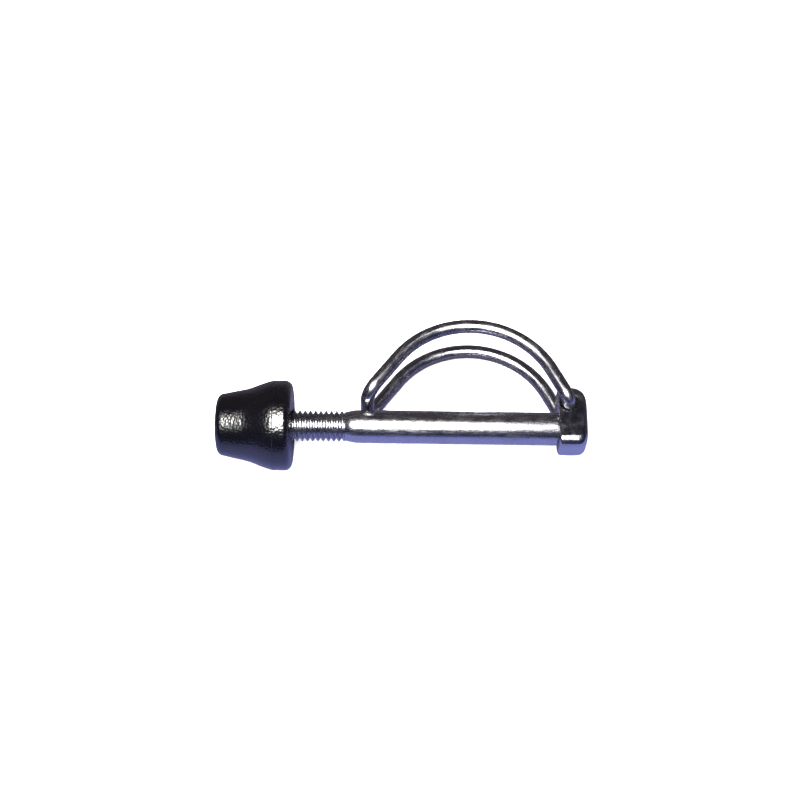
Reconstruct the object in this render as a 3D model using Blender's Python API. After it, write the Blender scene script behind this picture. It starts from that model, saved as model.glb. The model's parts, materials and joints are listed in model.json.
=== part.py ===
"""Hitch pin lock: a turned pin with a screw-on knob at one end and a swinging wire bail at the other.

The pin lies along X. The head's end face is at x = 0 on the pin's axis, and the knob is at -X.
The bail lies on the +Y side of the pin, parallel to the XY plane, with its loop resting on the shank.
All sizes are in metres. A size that fits to another piece is worked out from it and a clearance.
"""

import math

import bmesh
import bpy
from mathutils import Vector

MM = 0.001

# Clearances
FIT_GAP = 0.3 * MM
LEG_CLEARANCE = 0.35 * MM

# Pin: plain shank, neck and threaded stud
SHANK_RADIUS = 5.0 * MM
GRIP_LENGTH = 61.0 * MM
NECK_LENGTH = 3.1 * MM
NECK_ABOVE_ROOT = 0.62 * MM
NECK_BLEND_LENGTH = 0.8 * MM
NECK_BLEND_DROP = 0.114 * MM
STUD_LENGTH = 25.0 * MM
STUD_CHAMFER = 1.2 * MM
THREAD_MAJOR_RADIUS = 4.7 * MM
THREAD_PITCH = 25.4 * MM / 16
THREAD_DEPTH = 0.6134 * THREAD_PITCH
THREAD_END_MARGIN = 0.02 * THREAD_PITCH
THREAD_RUNOUT = 0.5 * MM

# Head: a block that stands out on the bail's side
HEAD_LENGTH = 8.7 * MM
HEAD_HALF_THICKNESS = 5.4 * MM
HEAD_LOW_SIDE = 7.3 * MM
HEAD_HIGH_SIDE = 12.5 * MM
HEAD_SECTION_CORNER = 3.0 * MM
HEAD_HIGH_CORNER = 4.4 * MM
HEAD_LOW_CORNER = 3.0 * MM
HEAD_INNER_CORNER = 1.2 * MM
HEAD_END_FILLET = 1.4 * MM
HEAD_INNER_FILLET = 0.4 * MM
BORE_WALL = 0.6 * MM

# Bail: one round wire bent into a loop, its two ends turned into the head's cross-hole
WIRE_RADIUS = 2.1 * MM
PIVOT_FROM_FACE = 3.2 * MM
PIVOT_OFFSET = 6.3 * MM
PIVOT_COUNTERSINK = 0.4 * MM
BAIL_FOOT_FROM_NECK = 3.4 * MM
BAIL_HEAD_SLANT = math.radians(27.5)
BAIL_FOOT_SLANT = math.radians(36.5)
BAIL_LEG_RUN = 11.1 * MM
BAIL_TAIL_GAP = 1.0 * MM
TAIL_BEND_RADIUS = 3.0 * MM
FOOT_BEND_RADIUS = 4.4 * MM

# Knob: a gentle cone that flares to a rim, moulded round a brass insert
KNOB_ENGAGEMENT = 9.25 * MM
KNOB_LENGTH = 22.9 * MM
KNOB_TIP_RADIUS = 9.5 * MM
KNOB_TIP_CORNER = 2.2 * MM
KNOB_WAIST_RADIUS = 10.65 * MM
KNOB_FLARE_LENGTH = 9.4 * MM
KNOB_RIM_RADIUS = 13.6 * MM
KNOB_RIM_LAND = 3.3 * MM
KNOB_RIM_CORNER = 2.2 * MM
KNOB_FACE_CROWN = 0.3 * MM
KNOB_END_WALL = 3.4 * MM
INSERT_LIP = 1.0 * MM
INSERT_LENGTH = 13.0 * MM
INSERT_WALL = 1.9 * MM
GROOVE_DEPTH = 0.7 * MM
GROOVE_WIDTH = 2.2 * MM
GROOVE_COUNT = 2

# Facets
PIN_SEGMENTS = 32
KNOB_SEGMENTS = 40
CORNER_STEPS = 5
HEAD_OUTER_STEPS = 7
HEAD_INNER_STEPS = 3
FLARE_STEPS = 7
BEND_STEPS = 7
LOOP_STEPS = 22
WIRE_BEVEL_RESOLUTION = 4
CUTTER_OVERRUN = 1.0 * MM

# Places along the pin's axis
HEAD_FACE_X = -HEAD_LENGTH
SHANK_END_X = HEAD_FACE_X - FIT_GAP
NECK_WIDE_X = HEAD_FACE_X - GRIP_LENGTH
NECK_NARROW_X = NECK_WIDE_X - NECK_LENGTH
STUD_END_X = NECK_NARROW_X - STUD_LENGTH
KNOB_FACE_X = STUD_END_X + KNOB_ENGAGEMENT
KNOB_TIP_X = KNOB_FACE_X - KNOB_LENGTH

# Fits worked out from the sizes above
THREAD_ROOT_RADIUS = THREAD_MAJOR_RADIUS - THREAD_DEPTH
NECK_RADIUS = THREAD_ROOT_RADIUS + NECK_ABOVE_ROOT
PIVOT_X = HEAD_FACE_X + PIVOT_FROM_FACE
PIVOT_HOLE_RADIUS = WIRE_RADIUS + FIT_GAP
SPIGOT_RADIUS = PIVOT_OFFSET - PIVOT_HOLE_RADIUS - BORE_WALL - FIT_GAP
LEG_Z = max(HEAD_HALF_THICKNESS, SHANK_RADIUS) + LEG_CLEARANCE + WIRE_RADIUS
REST_Y = SHANK_RADIUS + FIT_GAP + WIRE_RADIUS
FOOT_X = NECK_WIDE_X + BAIL_FOOT_FROM_NECK
STUD_BORE_RADIUS = THREAD_MAJOR_RADIUS + FIT_GAP
INSERT_RADIUS = STUD_BORE_RADIUS + INSERT_WALL
INSERT_MOUTH_X = KNOB_FACE_X - INSERT_LIP - FIT_GAP
INSERT_END_X = INSERT_MOUTH_X - INSERT_LENGTH
LIP_BORE_RADIUS = STUD_BORE_RADIUS + FIT_GAP
KNOB_RIM_X = KNOB_FACE_X - KNOB_FACE_CROWN - KNOB_RIM_CORNER
KNOB_FLARE_END_X = KNOB_RIM_X - KNOB_RIM_LAND
KNOB_BORE_END_X = KNOB_TIP_X + KNOB_END_WALL

# One pitch of the thread: share of the pitch along the axis, and share of the thread's depth
THREAD_PROFILE = ((0.0, 1.0), (0.125, 1.0), (0.5, 0.0), (0.625, 0.0))


def clear_scene():
    for item in list(bpy.data.objects):
        bpy.data.objects.remove(item, do_unlink=True)


def add_material(name, colour, metallic, roughness):
    material = bpy.data.materials.new(name)
    material.use_nodes = True
    shader = material.node_tree.nodes["Principled BSDF"]
    shader.inputs["Base Color"].default_value = (*colour, 1.0)
    shader.inputs["Metallic"].default_value = metallic
    shader.inputs["Roughness"].default_value = roughness
    return material


def add_object(name, data, material):
    item = bpy.data.objects.new(name, data)
    data.materials.append(material)
    bpy.context.scene.collection.objects.link(item)
    return item


def finish_mesh(bm, name, sharp_degrees=35.0):
    """Turn a bmesh into a mesh whose faces point out and whose round sides are smooth."""
    bmesh.ops.triangulate(bm, faces=list(bm.faces))
    bmesh.ops.recalc_face_normals(bm, faces=list(bm.faces))
    mesh = bpy.data.meshes.new(name)
    bm.to_mesh(mesh)
    bm.free()
    mesh.shade_smooth()
    mesh.set_sharp_from_angle(angle=math.radians(sharp_degrees))
    return mesh


def add_ring(bm, x, radius, segments):
    """A circle of vertices about the X axis, or one vertex where the radius is zero."""
    if radius <= 0.0:
        return [bm.verts.new((x, 0.0, 0.0))]
    angles = [math.tau * step / segments for step in range(segments)]
    return [bm.verts.new((x, radius * math.cos(a), radius * math.sin(a))) for a in angles]


def bridge(bm, first, second):
    """Join two rings with quads, or a ring and a pole with triangles."""
    count = max(len(first), len(second))
    for step in range(count):
        after = (step + 1) % count
        corners = [first[step % len(first)], first[after % len(first)]]
        corners += [second[after % len(second)], second[step % len(second)]]
        bm.faces.new(list(dict.fromkeys(corners)))


def turn_profile(bm, stations, segments):
    """Skin rings through (x, radius) stations and return the rings."""
    rings = [add_ring(bm, x, radius, segments) for x, radius in stations]
    for first, second in zip(rings, rings[1:]):
        bridge(bm, first, second)
    return rings


def arc_points(centre, radius, start, end, steps):
    """Points on an arc in a plane, angles in radians, both ends included."""
    angles = [start + (end - start) * step / steps for step in range(steps + 1)]
    return [(centre[0] + radius * math.cos(a), centre[1] + radius * math.sin(a)) for a in angles]


# --- Pin -----------------------------------------------------------------------------------------


def thread_limit(x):
    """Largest radius the thread may have at x: chamfered at the free end, fading out at the neck."""
    tip_radius = THREAD_MAJOR_RADIUS - STUD_CHAMFER
    at_tip = tip_radius + (x - STUD_END_X)
    at_neck = NECK_RADIUS + (NECK_NARROW_X - x) * (THREAD_MAJOR_RADIUS - NECK_RADIUS) / THREAD_RUNOUT
    return min(THREAD_MAJOR_RADIUS, at_tip, at_neck)


def thread_column(bm, step):
    """The thread's corners at one angle, keyed by their number along the helix."""
    angle = math.tau * step / PIN_SEGMENTS
    column = {}
    corner_count = len(THREAD_PROFILE)
    turns = math.ceil(STUD_LENGTH / THREAD_PITCH) + 1
    for number in range(-corner_count, turns * corner_count):
        share, height = THREAD_PROFILE[number % corner_count]
        x = STUD_END_X + THREAD_PITCH * (number // corner_count + share + step / PIN_SEGMENTS)
        if not STUD_END_X + THREAD_END_MARGIN < x < NECK_NARROW_X - THREAD_END_MARGIN:
            continue
        radius = min(THREAD_ROOT_RADIUS + height * THREAD_DEPTH, thread_limit(x))
        column[number] = bm.verts.new((x, radius * math.cos(angle), radius * math.sin(angle)))
    return column


def skin_thread(bm, tip_ring, neck_ring):
    """Right-hand thread between the stud's tip ring and the neck's narrow ring."""
    columns = [thread_column(bm, step) for step in range(PIN_SEGMENTS)]
    for step in range(PIN_SEGMENTS):
        after = (step + 1) % PIN_SEGMENTS
        left = columns[step]
        shift = len(THREAD_PROFILE) if after == 0 else 0
        right = {number - shift: vertex for number, vertex in columns[after].items()}
        shared = sorted(set(left) & set(right))
        for number in shared[:-1]:
            bm.faces.new((left[number], left[number + 1], right[number + 1], right[number]))
        first, last = shared[0], shared[-1]
        left_low = [left[n] for n in sorted(left) if n <= first]
        right_low = [right[n] for n in sorted(right, reverse=True) if n <= first]
        bm.faces.new([tip_ring[step], *left_low, *right_low, tip_ring[after]])
        left_high = [left[n] for n in sorted(left, reverse=True) if n >= last]
        right_high = [right[n] for n in sorted(right) if n >= last]
        bm.faces.new([neck_ring[step], *left_high, *right_high, neck_ring[after]])


def build_pin_shank(material):
    """Spigot, plain shank, coned neck and threaded stud, turned from one bar."""
    bm = bmesh.new()
    plain = [
        (NECK_NARROW_X, NECK_RADIUS),
        (NECK_WIDE_X - NECK_BLEND_LENGTH, SHANK_RADIUS - NECK_BLEND_DROP),
        (NECK_WIDE_X, SHANK_RADIUS),
        (SHANK_END_X, SHANK_RADIUS),
        (SHANK_END_X, SPIGOT_RADIUS),
        (0.0, SPIGOT_RADIUS),
        (0.0, 0.0),
    ]
    neck_ring = turn_profile(bm, plain, PIN_SEGMENTS)[0]
    tip = [(STUD_END_X, 0.0), (STUD_END_X, THREAD_MAJOR_RADIUS - STUD_CHAMFER)]
    tip_ring = turn_profile(bm, tip, PIN_SEGMENTS)[1]
    skin_thread(bm, tip_ring, neck_ring)
    return add_object("pin_shank", finish_mesh(bm, "pin_shank"), material)


# --- Head ----------------------------------------------------------------------------------------


def head_section(y_low, y_high, half_z, corner):
    """A rounded rectangle in the YZ plane, counter-clockwise seen from +X."""
    centres = (
        (y_high - corner, half_z - corner),
        (y_low + corner, half_z - corner),
        (y_low + corner, corner - half_z),
        (y_high - corner, corner - half_z),
    )
    points = []
    for quarter, centre in enumerate(centres):
        start = quarter * math.pi / 2
        points += arc_points(centre, corner, start, start + math.pi / 2, CORNER_STEPS)
    return points


def round_over(distance, radius):
    """How far a side has drawn in at this distance from an edge rounded with this radius."""
    if distance >= radius:
        return 0.0
    return radius - math.sqrt(radius**2 - (radius - distance) ** 2)


def rounding_depths(radius, steps):
    """Depths behind a rounded edge, from its face to where the rounding ends."""
    return [radius * (1 - math.cos(math.pi / 2 * step / steps)) for step in range(steps + 1)]


def head_stations():
    """X places of the head's sections, closer together inside the rounded edges."""
    inner = rounding_depths(HEAD_INNER_CORNER, HEAD_INNER_STEPS)
    outer = rounding_depths(HEAD_HIGH_CORNER, HEAD_OUTER_STEPS)
    return [HEAD_FACE_X + depth for depth in inner] + [-depth for depth in reversed(outer)]


def build_pin_head(material):
    """A forged block with rounded edges, bored for the spigot and cross-drilled for the bail."""
    bm = bmesh.new()
    loops = []
    for x in head_stations():
        from_end = -x
        from_face = x - HEAD_FACE_X
        y_high = HEAD_HIGH_SIDE - round_over(from_end, HEAD_HIGH_CORNER)
        y_high -= round_over(from_face, HEAD_INNER_CORNER)
        y_low = -HEAD_LOW_SIDE + round_over(from_end, HEAD_LOW_CORNER)
        y_low += round_over(from_face, HEAD_INNER_FILLET)
        half_z = HEAD_HALF_THICKNESS - round_over(from_end, HEAD_END_FILLET)
        half_z -= round_over(from_face, HEAD_INNER_FILLET)
        section = head_section(y_low, y_high, half_z, HEAD_SECTION_CORNER)
        loops.append([bm.verts.new((x, y, z)) for y, z in section])
    for first, second in zip(loops, loops[1:]):
        bridge(bm, first, second)
    bm.faces.new(loops[0])
    bm.faces.new(loops[-1])
    head = add_object("pin_head", finish_mesh(bm, "pin_head"), material)
    cut(head, build_spigot_cutter(material))
    cut(head, build_pivot_cutter(material))
    return head


def build_spigot_cutter(material):
    bm = bmesh.new()
    radius = SPIGOT_RADIUS + FIT_GAP
    low = HEAD_FACE_X - CUTTER_OVERRUN
    stations = [(low, 0.0), (low, radius), (CUTTER_OVERRUN, radius), (CUTTER_OVERRUN, 0.0)]
    turn_profile(bm, stations, PIN_SEGMENTS)
    return add_object("spigot_cutter", finish_mesh(bm, "spigot_cutter"), material)


def build_pivot_cutter(material):
    """Cross-hole with a countersink at each side of the head, turned on X and stood up on Z."""
    bm = bmesh.new()
    rim = HEAD_HALF_THICKNESS
    wide = PIVOT_HOLE_RADIUS + PIVOT_COUNTERSINK + CUTTER_OVERRUN
    stations = [
        (-rim - CUTTER_OVERRUN, 0.0),
        (-rim - CUTTER_OVERRUN, wide),
        (-rim + PIVOT_COUNTERSINK, PIVOT_HOLE_RADIUS),
        (rim - PIVOT_COUNTERSINK, PIVOT_HOLE_RADIUS),
        (rim + CUTTER_OVERRUN, wide),
        (rim + CUTTER_OVERRUN, 0.0),
    ]
    turn_profile(bm, stations, PIN_SEGMENTS)
    cutter = add_object("pivot_cutter", finish_mesh(bm, "pivot_cutter"), material)
    cutter.rotation_euler = (0.0, -math.pi / 2, 0.0)
    cutter.location = (PIVOT_X, PIVOT_OFFSET, 0.0)
    return cutter


def cut(target, cutter):
    cutter.hide_render = True
    cutter.display_type = "WIRE"
    modifier = target.modifiers.new(cutter.name, "BOOLEAN")
    modifier.operation = "DIFFERENCE"
    modifier.solver = "EXACT"
    modifier.object = cutter


# --- Bail ----------------------------------------------------------------------------------------


def bend(before, corner, after, radius, steps):
    """Points round a bend of this radius that replaces the corner between two straight runs."""
    into = (before - corner).normalized()
    out = (after - corner).normalized()
    half_angle = into.angle(out) / 2
    inward = (into + out).normalized()
    centre = corner + inward * (radius / math.sin(half_angle))
    start = corner + into * (radius / math.tan(half_angle))
    side = (start - centre).normalized()
    ahead = -into
    sweep = math.pi - 2 * half_angle
    angles = [sweep * step / steps for step in range(steps + 1)]
    return [centre + radius * (side * math.cos(a) + ahead * math.sin(a)) for a in angles]


def bail_path():
    """The wire's centre line, from one end in the cross-hole round the loop to the other end."""
    head_slope = math.tan(BAIL_HEAD_SLANT)
    foot_slope = math.tan(BAIL_FOOT_SLANT)
    foot_rise = REST_Y - PIVOT_OFFSET
    crown_rise = (PIVOT_X - FOOT_X + foot_rise * foot_slope) / (head_slope + foot_slope)
    crown_from_elbow = crown_rise / math.cos(BAIL_HEAD_SLANT)
    half_angle = (BAIL_HEAD_SLANT + BAIL_FOOT_SLANT) / 2
    loop_radius = (crown_from_elbow - BAIL_LEG_RUN) * math.tan(half_angle)
    tail = Vector((PIVOT_X, PIVOT_OFFSET, BAIL_TAIL_GAP / 2))
    elbow = Vector((PIVOT_X, PIVOT_OFFSET, LEG_Z))
    crown = Vector((PIVOT_X - crown_rise * head_slope, PIVOT_OFFSET + crown_rise, LEG_Z))
    foot = Vector((FOOT_X, REST_Y, LEG_Z))
    rest = Vector((FOOT_X, REST_Y, 0.0))
    half = [tail]
    half += bend(tail, elbow, crown, TAIL_BEND_RADIUS, BEND_STEPS)
    half += bend(elbow, crown, foot, loop_radius, LOOP_STEPS)
    half += bend(crown, foot, rest, FOOT_BEND_RADIUS, BEND_STEPS)
    mirrored = [Vector((p.x, p.y, -p.z)) for p in reversed(half)]
    return half + mirrored


def build_wire_bail(material):
    """The bail, with its origin on the pivot's axis."""
    pivot = Vector((PIVOT_X, PIVOT_OFFSET, 0.0))
    points = bail_path()
    curve = bpy.data.curves.new("wire_bail", "CURVE")
    curve.dimensions = "3D"
    curve.bevel_depth = WIRE_RADIUS
    curve.bevel_resolution = WIRE_BEVEL_RESOLUTION
    curve.use_fill_caps = True
    spline = curve.splines.new("POLY")
    spline.points.add(len(points) - 1)
    for spot, point in zip(spline.points, points):
        spot.co = (*(point - pivot), 1.0)
    spline.use_smooth = True
    bail = add_object("wire_bail", curve, material)
    bail.location = pivot
    return bail


# --- Knob ----------------------------------------------------------------------------------------


def knob_outside():
    """The knob's outer outline from its tip to its face, as (x, radius)."""
    tip_centre = (KNOB_TIP_X + KNOB_TIP_CORNER, KNOB_TIP_RADIUS - KNOB_TIP_CORNER)
    outline = [(KNOB_TIP_X, 0.0)]
    outline += arc_points(tip_centre, KNOB_TIP_CORNER, math.pi, math.pi / 2, CORNER_STEPS)
    for step in range(FLARE_STEPS + 1):
        t = step / FLARE_STEPS
        ease = (t + t * t * (3 - 2 * t)) / 2
        radius = KNOB_WAIST_RADIUS + (KNOB_RIM_RADIUS - KNOB_WAIST_RADIUS) * ease
        outline.append((KNOB_FLARE_END_X - KNOB_FLARE_LENGTH * (1 - t), radius))
    rim_centre = (KNOB_RIM_X, KNOB_RIM_RADIUS - KNOB_RIM_CORNER)
    outline += arc_points(rim_centre, KNOB_RIM_CORNER, math.pi / 2, 0.0, CORNER_STEPS)
    return outline


def groove_spans():
    """Each retention groove's two edges, as distances from the insert's mouth."""
    spacing = INSERT_LENGTH / (GROOVE_COUNT + 1)
    centres = [spacing * (number + 1) for number in range(GROOVE_COUNT)]
    return [(centre - GROOVE_WIDTH / 2, centre + GROOVE_WIDTH / 2) for centre in centres]


def knob_socket():
    """The bore from the knob's face inwards: a lip, then the insert's outside at the fit gap."""
    outer = INSERT_RADIUS + FIT_GAP
    rib = outer - GROOVE_DEPTH
    lip_end = KNOB_FACE_X - INSERT_LIP
    outline = [(KNOB_FACE_X, LIP_BORE_RADIUS), (lip_end, LIP_BORE_RADIUS), (lip_end, outer)]
    for near, far in groove_spans():
        rib_near = INSERT_MOUTH_X - near - FIT_GAP
        rib_far = INSERT_MOUTH_X - far + FIT_GAP
        outline += [(rib_near, outer), (rib_near, rib), (rib_far, rib), (rib_far, outer)]
    socket_end = INSERT_END_X - FIT_GAP
    outline += [(socket_end, outer), (socket_end, STUD_BORE_RADIUS)]
    outline += [(KNOB_BORE_END_X, STUD_BORE_RADIUS), (KNOB_BORE_END_X, 0.0)]
    return outline


def build_knob_body(material):
    bm = bmesh.new()
    turn_profile(bm, knob_outside() + knob_socket(), KNOB_SEGMENTS)
    return add_object("knob_body", finish_mesh(bm, "knob_body"), material)


def build_knob_insert(material):
    """A round bush with a bore that clears the stud's crests and two grooves that the knob grips."""
    bm = bmesh.new()
    low = INSERT_RADIUS - GROOVE_DEPTH
    outline = [(INSERT_MOUTH_X, STUD_BORE_RADIUS), (INSERT_MOUTH_X, INSERT_RADIUS)]
    for near, far in groove_spans():
        outline += [(INSERT_MOUTH_X - near, INSERT_RADIUS), (INSERT_MOUTH_X - near, low)]
        outline += [(INSERT_MOUTH_X - far, low), (INSERT_MOUTH_X - far, INSERT_RADIUS)]
    outline += [(INSERT_END_X, INSERT_RADIUS), (INSERT_END_X, STUD_BORE_RADIUS)]
    rings = turn_profile(bm, outline, PIN_SEGMENTS)
    bridge(bm, rings[-1], rings[0])
    return add_object("knob_insert", finish_mesh(bm, "knob_insert"), material)


def main():
    clear_scene()
    plated = add_material("plated_pin_steel", (0.72, 0.72, 0.74), 1.0, 0.14)
    head_plate = add_material("plated_head_steel", (0.70, 0.70, 0.72), 1.0, 0.18)
    wire_plate = add_material("plated_wire_steel", (0.71, 0.71, 0.73), 1.0, 0.16)
    black = add_material("black_textured_plastic", (0.012, 0.012, 0.014), 0.0, 0.45)
    brass = add_material("turned_brass", (0.66, 0.47, 0.18), 1.0, 0.32)
    build_pin_shank(plated)
    build_pin_head(head_plate)
    build_wire_bail(wire_plate)
    build_knob_insert(brass)
    build_knob_body(black)


main()
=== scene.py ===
"""Finish model of a hitch pin lock: plated pin, forged head, drawn wire bail and a black moulded knob.

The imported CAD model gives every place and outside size. The classes below rebuild each piece at
finish quality on those places, dress it, and let it ride on its CAD body.
All lengths are in metres; MM turns a size in millimetres into metres.
"""

import json
import logging
import math
from dataclasses import dataclass, field
from enum import Enum
from typing import Any, Iterable

import bmesh
import bpy
from mathutils import Matrix, Vector


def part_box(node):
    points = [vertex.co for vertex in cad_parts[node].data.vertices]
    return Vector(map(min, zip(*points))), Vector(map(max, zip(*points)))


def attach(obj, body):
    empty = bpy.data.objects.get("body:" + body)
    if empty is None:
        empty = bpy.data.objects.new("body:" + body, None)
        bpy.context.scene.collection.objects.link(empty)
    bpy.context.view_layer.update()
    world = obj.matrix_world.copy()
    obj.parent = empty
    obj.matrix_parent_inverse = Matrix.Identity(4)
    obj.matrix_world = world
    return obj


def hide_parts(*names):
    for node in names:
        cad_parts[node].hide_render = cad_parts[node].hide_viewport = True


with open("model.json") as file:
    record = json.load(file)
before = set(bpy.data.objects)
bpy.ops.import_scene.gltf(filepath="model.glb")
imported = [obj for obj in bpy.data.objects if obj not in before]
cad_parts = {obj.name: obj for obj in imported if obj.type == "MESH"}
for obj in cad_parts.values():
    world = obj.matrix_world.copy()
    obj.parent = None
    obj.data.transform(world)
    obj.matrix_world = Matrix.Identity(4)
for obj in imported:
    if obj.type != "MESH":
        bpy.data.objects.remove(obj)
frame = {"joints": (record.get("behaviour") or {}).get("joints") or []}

LOG = logging.getLogger("hitch_pin_lock")
MM = 0.001
PER_METRE_IN_MM = 1000.0
MERGE_DISTANCE = 0.002 * MM
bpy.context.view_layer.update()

Outline = list[tuple[float, float]]


# --- Shared tools ---


def linear(hex_colour: str) -> tuple[float, float, float, float]:
    """Turn an sRGB hex colour into linear RGBA.

    Args:
        hex_colour: A colour such as "#8899AA".

    Returns:
        The linear red, green, blue and an alpha of 1.
    """
    parts = [int(hex_colour[at : at + 2], 16) / 255 for at in (1, 3, 5)]
    curve = [p / 12.92 if p <= 0.04045 else ((p + 0.055) / 1.055) ** 2.4 for p in parts]
    return (*curve, 1.0)


def add_node(tree: bpy.types.NodeTree, kind: str, inputs: dict | None = None, **settings: Any) -> Any:
    """Add one node, set its properties and fill or link its inputs.

    Args:
        tree: The node tree that takes the node.
        kind: The node's type name.
        inputs: Input names or numbers, each with a value or an output socket to link from.
        settings: The node's own properties.

    Returns:
        The new node.
    """
    node = tree.nodes.new(kind)
    for name, value in settings.items():
        setattr(node, name, value)
    for key, value in (inputs or {}).items():
        if isinstance(value, bpy.types.NodeSocket):
            tree.links.new(value, node.inputs[key])
        else:
            node.inputs[key].default_value = value
    return node


def start_material(name: str) -> tuple[bpy.types.Material, bpy.types.NodeTree, Any]:
    """Start a material with a Principled shader.

    Args:
        name: The material's name.

    Returns:
        The material, its node tree and its shader.
    """
    material = bpy.data.materials.new(name)
    material.use_nodes = True
    tree = material.node_tree
    return material, tree, tree.nodes["Principled BSDF"]


def in_millimetres(tree: bpy.types.NodeTree, place_on: Any) -> Any:
    """Scale coordinates in metres to millimetres."""
    scale = (PER_METRE_IN_MM,) * 3
    return add_node(tree, "ShaderNodeMapping", {"Vector": place_on, "Scale": scale}).outputs[0]


def noise(tree: bpy.types.NodeTree, place_on: Any, scale: float, detail: float = 2.0) -> Any:
    """A noise pattern's value at these coordinates."""
    inputs = {"Vector": place_on, "Scale": scale, "Detail": detail}
    return add_node(tree, "ShaderNodeTexNoise", inputs).outputs[0]


def spread(tree: bpy.types.NodeTree, value: Any, low: tuple, high: tuple) -> Any:
    """Map a value from one range to another.

    Args:
        tree: The node tree.
        value: The socket to map.
        low: The value at the lower end, before and after.
        high: The value at the upper end, before and after.

    Returns:
        The mapped value's socket.
    """
    inputs = {"Value": value, "From Min": low[0], "From Max": high[0]}
    inputs |= {"To Min": low[1], "To Max": high[1]}
    return add_node(tree, "ShaderNodeMapRange", inputs).outputs[0]


def blend(tree: bpy.types.NodeTree, factor: Any, first: Any, second: Any) -> Any:
    """Mix two colours.

    Args:
        tree: The node tree.
        factor: The socket that says how much of the second colour shows.
        first: A hex colour or a colour socket.
        second: A hex colour or a colour socket.

    Returns:
        The mixed colour's socket.
    """
    first, second = (linear(c) if isinstance(c, str) else c for c in (first, second))
    inputs = {"Factor": factor, "A": first, "B": second}
    return add_node(tree, "ShaderNodeMix", inputs, data_type="RGBA").outputs["Result"]


def emboss(
    tree: bpy.types.NodeTree, height: Any, height_mm: float, under: Any = None, **settings: Any
) -> Any:
    """Raise a surface by a pattern.

    Args:
        tree: The node tree.
        height: The pattern's socket.
        height_mm: The relief's full height in millimetres.
        under: The normal of the relief that this one lies on, if any.
        settings: The bump node's own properties.

    Returns:
        The new normal's socket.
    """
    inputs = {"Height": height, "Distance": height_mm * MM, "Strength": 1.0}
    if under is not None:
        inputs["Normal"] = under
    return add_node(tree, "ShaderNodeBump", inputs, **settings).outputs[0]


def dress(tree: bpy.types.NodeTree, colour: Any, roughness: Any, normal: Any) -> None:
    """Feed a Principled shader its colour, roughness and relief."""
    shader = tree.nodes["Principled BSDF"]
    for name, socket in (("Base Color", colour), ("Roughness", roughness), ("Normal", normal)):
        tree.links.new(socket, shader.inputs[name])


def new_tree(name: str, sockets: dict[str, str]) -> tuple[bpy.types.NodeTree, Any]:
    """Start a Geometry Nodes tree with named inputs and one geometry output.

    Args:
        name: The tree's name.
        sockets: Each input's name and socket type, besides the geometry input.

    Returns:
        The tree and its group input node.
    """
    tree = bpy.data.node_groups.new(name, "GeometryNodeTree")
    tree.interface.new_socket("Geometry", in_out="INPUT", socket_type="NodeSocketGeometry")
    tree.interface.new_socket("Geometry", in_out="OUTPUT", socket_type="NodeSocketGeometry")
    for label, kind in sockets.items():
        tree.interface.new_socket(label, in_out="INPUT", socket_type=kind)
    return tree, add_node(tree, "NodeGroupInput")


def close_tree(tree: bpy.types.NodeTree, geometry: Any, material: Any) -> None:
    """End a tree in smooth shading, Realize Instances and Set Material.

    Args:
        tree: The Geometry Nodes tree.
        geometry: The socket of the geometry made so far.
        material: The socket of the material to set.
    """
    smooth = add_node(tree, "GeometryNodeSetShadeSmooth", {"Geometry": geometry})
    real = add_node(tree, "GeometryNodeRealizeInstances", {"Geometry": smooth.outputs[0]})
    dressed = add_node(
        tree, "GeometryNodeSetMaterial", {"Geometry": real.outputs[0], "Material": material}
    )
    add_node(tree, "NodeGroupOutput", {"Geometry": dressed.outputs[0]})


def grow(data: Any, tree: bpy.types.NodeTree, values: dict[str, Any]) -> bpy.types.Mesh:
    """Run a Geometry Nodes tree on a throwaway object and return the plain mesh it makes.

    Args:
        data: The mesh or curve that the tree starts from.
        tree: The Geometry Nodes tree.
        values: Each named input's value.

    Returns:
        The finished mesh, with nothing live on it.
    """
    seed = bpy.data.objects.new(tree.name + "_seed", data)
    bpy.context.scene.collection.objects.link(seed)
    modifier = seed.modifiers.new(tree.name, "NODES")
    modifier.node_group = tree
    for item in tree.interface.items_tree:
        if item.in_out == "INPUT" and item.name in values:
            modifier[item.identifier] = values[item.name]
    bpy.context.view_layer.update()
    evaluated = seed.evaluated_get(bpy.context.evaluated_depsgraph_get())
    mesh = bpy.data.meshes.new_from_object(evaluated)
    seed.modifiers.remove(modifier)
    bpy.data.objects.remove(seed)
    return mesh


def arc(centre: tuple[float, float], radius: float, start: float, end: float, steps: int) -> Outline:
    """Points on an arc, both ends included.

    Args:
        centre: The arc's centre in its plane.
        radius: The arc's radius.
        start: First angle in degrees.
        end: Last angle in degrees.
        steps: Number of chords.

    Returns:
        The points as pairs.
    """
    turn = [math.radians(start + (end - start) * k / steps) for k in range(steps + 1)]
    return [(centre[0] + radius * math.cos(a), centre[1] + radius * math.sin(a)) for a in turn]


def soft_corner(outline: Outline, at: int, size: float, steps: int = 4) -> Outline:
    """Round one corner of an outline with a short curve.

    Args:
        outline: The outline's points.
        at: The corner's number in the outline.
        size: How far the curve starts from the corner.
        steps: Number of chords in the curve.

    Returns:
        A new outline with the corner replaced.
    """
    before, corner, after = (Vector(outline[at + shift]) for shift in (-1, 0, 1))
    start = corner + (before - corner).normalized() * size
    end = corner + (after - corner).normalized() * size
    curve = []
    for k in range(steps + 1):
        t = k / steps
        point = start * (1 - t) ** 2 + corner * 2 * t * (1 - t) + end * t * t
        curve.append((point.x, point.y))
    return outline[:at] + curve + outline[at + 1 :]


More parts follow.
